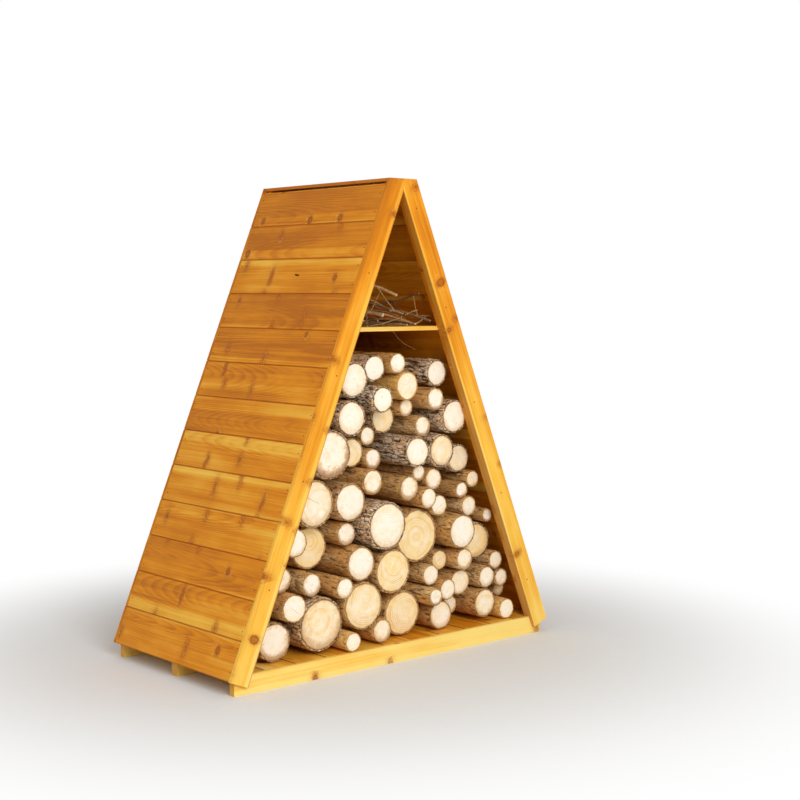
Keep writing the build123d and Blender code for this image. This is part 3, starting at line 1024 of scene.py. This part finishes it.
def add_nail(shell, middle, out, settings):
    """A low round head on a surface that faces out."""
    side = out.cross(Vector((0.0, 1.0, 0.0))).normalized()
    other = out.cross(side)
    rings = []
    turns = [2 * math.pi * step / NAIL_POINTS for step in range(NAIL_POINTS)]
    for size, rise in NAIL_PROFILE:
        rings.append(shell.ring([
            middle + out * settings.head_height * rise
            + (side * math.cos(turn) + other * math.sin(turn)) * settings.head_radius * size
            for turn in turns]))
    top = shell.ring([middle + out * settings.head_height])[0]
    bottom = shell.ring([middle])[0]
    shell.fan(bottom, rings[0], turned=True)
    shell.bridge(rings[0], rings[1])
    shell.bridge(rings[1], rings[2])
    shell.fan(top, rings[2])


class LOGSTORE_OT_nails(bpy.types.Operator):
    """Makes the nails at both ends of every slope board"""
    bl_idname = "log_store.nails"
    bl_label = "Nails"

    def execute(self, context):
        settings = context.scene.log_store_fixings
        luck = random.Random(NAIL_SEED)
        shell = Shell()
        count = round((SLOPE_LENGTH - RIDGE_GAP) / BOARD_COVER)
        for side in (-1.0, 1.0):
            out = Vector((side * COS, 0.0, SIN))
            for number in range(count):
                for share in (0.22, 0.78):
                    for end in (-1.0, 1.0):
                        down = RIDGE_GAP + (number + share + luck.uniform(-0.04, 0.04)) * BOARD_COVER
                        y = end * (BACK - settings.edge_inset + luck.uniform(-0.003, 0.003))
                        x = side * (HALF_TOP + down * SIN)
                        add_nail(shell, Vector((x, y, TOP - down * COS)), out, settings)
        shell.build("slope_nails", [steel()])
        return {"FINISHED"}


# Sticks that lie foremost on the shelf: start, end, how far the middle bows out and rises,
# radii at both ends (all in mm), tone from grey to tan
SHELF_STICKS = (
    ((-163, -205, 1080), (17, -250, 1077), (0, 27), (2.4, 5.0), 0.95),
    ((-150, -150, 1052), (112, -246, 1080), (0, -16), (3.2, 2.2), 0.05),
    ((108, -248, 1013), (93, -246, 1071), (3, 0), (1.9, 1.2), 0.75),
    ((-62, -255, 1106), (0, -262, 1036), (0, -2), (1.3, 1.5), 0.85),
    ((-22, -240, 1102), (-72, -250, 1036), (-2, 0), (1.1, 1.4), 0.75),
    ((-110, -235, 1082), (36, -262, 1022), (0, -3), (1.5, 1.9), 0.80),
    ((-152, -225, 1064), (-4, -258, 1035), (0, 5), (3.8, 2.6), 0.20),
    ((-160, -205, 1034), (-46, -262, 1019), (0, 4), (5.6, 6.6), 0.55),
    ((-60, -248, 1026), (80, -266, 990), (0, 4), (3.2, 2.6), 0.70),
    ((12, -235, 1031), (150, -252, 1000), (0, 5), (4.6, 3.9), 0.45),
    ((148, -240, 1014), (86, -262, 991), (0, -2), (2.0, 2.9), 0.80),
    ((-96, -262, 987), (36, -255, 1011), (0, -4), (1.6, 2.4), 0.65),
    ((-104, -268, 987), (-76, -240, 1040), (-3, 0), (1.2, 0.9), 0.60),
    ((-128, -262, 1009), (-92, -270, 987), (0, -2), (1.2, 1.4), 0.30),
    ((20, -222, 1062), (56, -250, 1018), (0, -2), (1.7, 2.2), 0.10),
    ((30, -215, 1054), (10, -240, 1030), (2, 0), (1.3, 1.8), 0.15),
    ((60, -255, 1020), (98, -258, 1031), (0, 2), (1.8, 1.5), 0.85),
    ((96, -236, 1009), (158, -246, 1014), (0, 3), (1.4, 1.9), 0.70),
    ((48, -167, 995), (169, -167, 911), (0, -10), (1.3, 0.8), 0.90),
    ((-138, -250, 1046), (-98, -262, 1012), (0, 2), (1.4, 1.7), 0.35),
    ((-120, -258, 988), (-104, -262, 1030), (2, 0), (1.5, 1.0), 0.10),
    ((-140, -240, 988), (60, -236, 990), (0, 5), (3.4, 2.8), 0.25),
    ((-90, -170, 989), (46, -268, 989), (0, 4), (3.6, 3.0), 0.50),
)


TWIG_POINTS = 8


def add_twig(shell, line, radii, tone, seed):
    """A thin crooked stick along a line of points, with two broken ends."""
    before = None
    last = len(line) - 1
    turns = [2 * math.pi * step / TWIG_POINTS for step in range(TWIG_POINTS)]
    for number, point in enumerate(line):
        onward = (line[min(number + 1, last)] - line[max(number - 1, 0)]).normalized()
        side = onward.cross(Vector((0.0, 0.3, 1.0))).normalized()
        other = onward.cross(side)
        share = number / last
        swell = 1.0 + 0.16 * noise.noise(Vector((share * 14.0, seed, 0.0)))
        size = (radii[0] * (1 - share) + radii[1] * share) * swell
        places = [point + (side * math.cos(turn) + other * math.sin(turn)) * size for turn in turns]
        ring = shell.ring(places, twig_kind=(tone, 0.0, seed))
        if before is None:
            slant = [place - onward * size * (0.5 + 0.4 * math.cos(turn))
                     for place, turn in zip(places, turns)]
            cut = shell.ring(slant, twig_kind=(tone, 0.8, seed))
            tip = point - onward * size * 0.5
            shell.fan(shell.ring([tip], twig_kind=(tone, 1.0, seed))[0], cut, turned=True)
            shell.bridge(cut, ring)
        else:
            shell.bridge(before, ring)
        before = ring
    slant = [place + onward * size * (0.6 + 0.5 * math.cos(turn)) for place, turn in zip(places, turns)]
    cut = shell.ring(slant, twig_kind=(tone, 0.8, seed))
    shell.bridge(before, cut)
    shell.fan(shell.ring([point + onward * size * 0.6], twig_kind=(tone, 1.0, seed))[0], cut)


# Where the three parts of a twig's waver are read in the noise
WAVER_LAYERS = (0.3, 20.3, 40.3)


def crooked_line(start, end, bow, luck, steps=14):
    """Points from start to end that bow and waver a little."""
    seed = luck.uniform(0, 50)
    length = (end - start).length
    across = (end - start).cross(Vector((0.0, 0.0, 1.0))).normalized()
    line = []
    for step in range(steps):
        share = step / (steps - 1)
        swell = math.sin(math.pi * share)
        parts = [noise.noise(Vector((share * 3.0, seed, layer))) for layer in WAVER_LAYERS]
        waver = Vector(parts) * length * 0.024 * swell
        point = start.lerp(end, share) + across * bow[0] * swell + Vector((0, 0, bow[1] * swell))
        line.append(point + waver)
    return line


# The heap of twigs: its corners on the shelf, how steeply it rises towards the left, the x where
# it is flat, and the share of twigs that lie across the others
HEAP_LOW, HEAP_HIGH = Vector((-0.165, -0.215, 0.0)), Vector((0.125, 0.235, 0.0))
HEAP_RISE, HEAP_FLAT = 0.48, 0.17
CROSSING_SHARE = 0.35
KINDLING_SEED = 31
STICK_SEED, TWIG_SEED = 3.0, 40.0


class LOGSTORE_OT_kindling(bpy.types.Operator):
    """Makes the heap of twigs on the shelf"""
    bl_idname = "log_store.kindling"
    bl_label = "Kindling"

    def execute(self, context):
        settings = context.scene.log_store_kindling
        luck = random.Random(KINDLING_SEED)
        shell = Shell()
        for number, (start, end, bow, radii, tone) in enumerate(SHELF_STICKS):
            start, end = Vector(start) / MM_IN_METRE, Vector(end) / MM_IN_METRE
            bow, radii = ([part / MM_IN_METRE for part in pair] for pair in (bow, radii))
            add_twig(shell, crooked_line(start, end, bow, luck), radii, tone, STICK_SEED + number)
        low, high = HEAP_LOW, HEAP_HIGH
        for number in range(settings.count):
            size = settings.thin + (settings.thick - settings.thin) * luck.random() ** 2
            length = luck.uniform(settings.short, settings.long)
            turn = luck.uniform(-0.9, 0.9) + (math.pi / 2 if luck.random() < CROSSING_SHARE else 0.0)
            reach = Vector((math.cos(turn), math.sin(turn), 0.0)) * length / 2
            middle = Vector((luck.uniform(low.x, high.x), luck.uniform(low.y, high.y), 0.0))
            ends = []
            for sign in (-1, 1):
                point = middle + reach * sign
                point.x = min(max(point.x, low.x), high.x)
                point.y = min(max(point.y, low.y), high.y)
                rise = size + luck.random() * HEAP_RISE * (HEAP_FLAT - point.x) * number / settings.count
                point.z = SHELF_TOP + rise
                ends.append(point)
            line = crooked_line(ends[0], ends[1], (0.0, luck.uniform(0.0, 0.016)), luck)
            for point in line:
                point.z = max(point.z, SHELF_TOP + size)
            radii = (size, size * luck.uniform(0.5, 0.9))
            add_twig(shell, line, radii, luck.random(), TWIG_SEED + number)
        shell.build("kindling", [twig_bark()])
        return {"FINISHED"}


LAMP_TARGET = Vector((0.0, 0.0, 0.65))


class LOGSTORE_OT_stage(bpy.types.Operator):
    """Makes the floor, the lights and the camera"""
    bl_idname = "log_store.stage"
    bl_label = "Floor, lights and camera"

    def execute(self, context):
        stage = context.scene.log_store_stage
        context.scene.view_settings.view_transform = "Standard"
        self.add_floor(stage.floor_radius)
        self.add_sky(context, stage)
        self.add_lamp("key_light", place=Vector((-1.5, -4.5, 2.6)), size=2.8, power=stage.key)
        self.add_lamp("side_light", place=Vector((-4.4, -0.6, 2.6)), size=3.0, power=stage.side)
        self.add_camera(context, stage)
        return {"FINISHED"}

    def add_floor(self, size):
        """A square floor under the store."""
        mesh = bpy.data.meshes.new("floor_plane")
        corners = [(-size, -size, 0), (size, -size, 0), (size, size, 0), (-size, size, 0)]
        mesh.from_pydata(corners, [], [(0, 1, 2, 3)])
        mesh.materials.append(pale_floor())
        add_to_scene("floor_plane", mesh)

    def add_sky(self, context, stage):
        """Even light from all sides, which shows as white."""
        sky = Finish("sky", world=True)
        light = {"Color": (1.0, 0.985, 0.96, 1.0), "Strength": stage.sky}
        white = {"Color": (1.0, 1.0, 1.0, 1.0), "Strength": 1.0}
        lit, plain = (sky.add("ShaderNodeBackground", None, inputs) for inputs in (light, white))
        context.scene.world = sky.done(sky.backdrop(1.0, lit, plain))

    def add_lamp(self, name, place, size, power):
        """A large round light that points at the store."""
        lamp = bpy.data.lights.new(name, "AREA")
        lamp.energy = power
        lamp.shape = "DISK"
        lamp.size = size
        piece = add_to_scene(name, lamp)
        piece.location = place
        piece.rotation_euler = (LAMP_TARGET - place).to_track_quat("-Z", "Y").to_euler()

    def add_camera(self, context, stage):
        """The camera, as the photograph shows the store."""
        turn, tilt, roll = stage.camera_turn
        ahead = math.cos(tilt)
        forward = Vector((math.sin(turn) * ahead, math.cos(turn) * ahead, -math.sin(tilt)))
        level = Vector((math.cos(turn), -math.sin(turn), 0.0))
        upright = level.cross(forward)
        right = level * math.cos(roll) + upright * math.sin(roll)
        up = upright * math.cos(roll) - level * math.sin(roll)
        camera = bpy.data.cameras.new("camera")
        camera.lens = stage.focal_length
        camera.sensor_width = 36.0
        camera.clip_end = 60.0
        piece = add_to_scene("camera", camera)
        turned = Matrix((right, up, -forward)).transposed().to_4x4()
        piece.matrix_world = Matrix.Translation(Vector(stage.camera_place)) @ turned
        context.scene.camera = piece


class LOGSTORE_PT_panel(bpy.types.Panel):
    """Lists the pieces of the log store"""
    bl_label = "Log store"
    bl_space_type = "VIEW_3D"
    bl_region_type = "UI"
    bl_category = "Log store"

    def draw(self, context):
        for operator in PIECES:
            self.layout.operator(operator.bl_idname)
        for name, group in GROUPS.items():
            box = self.layout.box()
            box.label(text=group.__doc__)
            settings = getattr(context.scene, name)
            for setting in group.__annotations__:
                box.prop(settings, setting)


PIECES = (
    LOGSTORE_OT_stage,
    LOGSTORE_OT_boards,
    LOGSTORE_OT_frames,
    LOGSTORE_OT_nails,
    LOGSTORE_OT_firewood,
    LOGSTORE_OT_kindling,
)


def register():
    for group in GROUPS.values():
        bpy.utils.register_class(group)
    for piece in PIECES:
        bpy.utils.register_class(piece)
    bpy.utils.register_class(LOGSTORE_PT_panel)
    for name, group in GROUPS.items():
        setattr(bpy.types.Scene, name, bpy.props.PointerProperty(type=group))


def unregister():
    for name in GROUPS:
        delattr(bpy.types.Scene, name)
    bpy.utils.unregister_class(LOGSTORE_PT_panel)
    for piece in reversed(PIECES):
        bpy.utils.unregister_class(piece)
    for group in GROUPS.values():
        bpy.utils.unregister_class(group)


def main():
    """Registers the settings, operators and panel, and makes every piece."""
    register()
    for piece in PIECES:
        family, name = piece.bl_idname.split(".")
        getattr(getattr(bpy.ops, family), name)()


if __name__ == "__main__":
    main()
